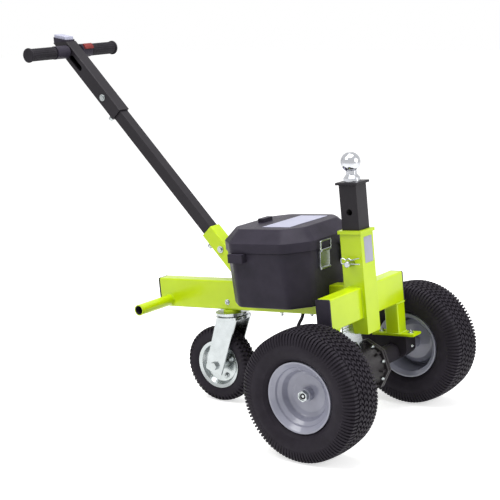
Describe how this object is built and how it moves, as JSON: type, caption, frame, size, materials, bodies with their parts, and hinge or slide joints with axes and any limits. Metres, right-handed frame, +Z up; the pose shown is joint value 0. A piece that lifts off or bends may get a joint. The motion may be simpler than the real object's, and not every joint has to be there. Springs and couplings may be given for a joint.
{
  "type": "electric trailer dolly",
  "caption": "Hand-guided electric trailer dolly: lime green tube frame on driven pneumatic tyres and a swivel caster, with battery box, long handle and tow ball on a front post.",
  "frame": {"origin": "on the floor, at the centre of the bounding box", "axes": "+X forward to the drive wheels, +Y to the left, +Z up"},
  "size_m": [1.1628, 0.6428, 1.005],
  "materials": {
    "green": "gloss lime green paint",
    "black_tube": "satin black paint",
    "black_plastic": "black moulded plastic",
    "grip_rubber": "black rubber",
    "tyre_rubber": "black tyre rubber",
    "rim_paint": "silver grey paint",
    "zinc": "bright zinc plate",
    "chrome": "chrome plate",
    "cast": "dark grey casting",
    "red_plastic": "red thumb lever",
    "pale_panel": "pale blank panel"
  },
  "bodies": {
    "frame": {"axle_legs": "green", "axle_saddles": "black_tube", "axle_tubes": "black_tube", "ball_plate": "black_tube", "ball_tube": "black_tube", "bar_controls": "black_plastic", "batteries": "black_plastic", "battery_tub": "black_plastic", "box_latches": "zinc", "caster_plate": "zinc", "cross_beam": "green", "cross_beam_caps": "black_plastic", "gear_housing": "cast", "grips": "grip_rubber", "handle_head": "black_plastic", "handle_locks": "zinc", "handle_sleeve": "black_tube", "handle_socket": "green", "handle_tube": "black_tube", "handlebar": "black_tube", "head_panel": "pale_panel", "hitch_pin": "zinc", "lift_bar": "green", "main_beam": "green", "main_beam_cap": "black_plastic", "motor": "black_tube", "motor_lead": "grip_rubber", "post": "green", "post_collar": "green", "throttle_lever": "red_plastic", "tow_ball": "chrome", "tub_hinges": "black_plastic"},
    "wheel_right": {"tyre_right": "tyre_rubber", "rim_right": "rim_paint", "shaft_right": "zinc"},
    "wheel_left": {"tyre_left": "tyre_rubber", "rim_left": "rim_paint", "shaft_left": "zinc"},
    "caster_fork": {"caster_fork": "zinc", "caster_axle": "zinc"},
    "caster_wheel": {"caster_tyre": "tyre_rubber", "caster_rim": "zinc"},
    "lid": {"box_lid": "black_plastic", "lid_panel": "pale_panel", "lid_switch": "black_plastic", "lid_hinges": "black_plastic"}
  },
  "joints": [
    {"name": "right_wheel_spin", "type": "hinge", "parent": "frame", "child": "wheel_right", "pos_m": [0.41941, -0.259, 0.162], "axis": [0, 1, 0], "continuous": true},
    {"name": "left_wheel_spin", "type": "hinge", "parent": "frame", "child": "wheel_left", "pos_m": [0.41941, 0.259, 0.162], "axis": [0, 1, 0], "continuous": true},
    {"name": "caster_swivel", "type": "hinge", "parent": "frame", "child": "caster_fork", "pos_m": [0.00389, 0, 0.24665], "axis": [-0.0663, 0, 0.9978], "continuous": true},
    {"name": "caster_wheel_spin", "type": "hinge", "parent": "caster_fork", "child": "caster_wheel", "pos_m": [-0.03882, 0, 0.105], "axis": [0, 1, 0], "continuous": true},
    {"name": "lid_hinge", "type": "hinge", "parent": "frame", "child": "lid", "pos_m": [0.05173, 0, 0.45427], "axis": [0, -1, 0], "range_deg": [0, 95]}
  ]
}
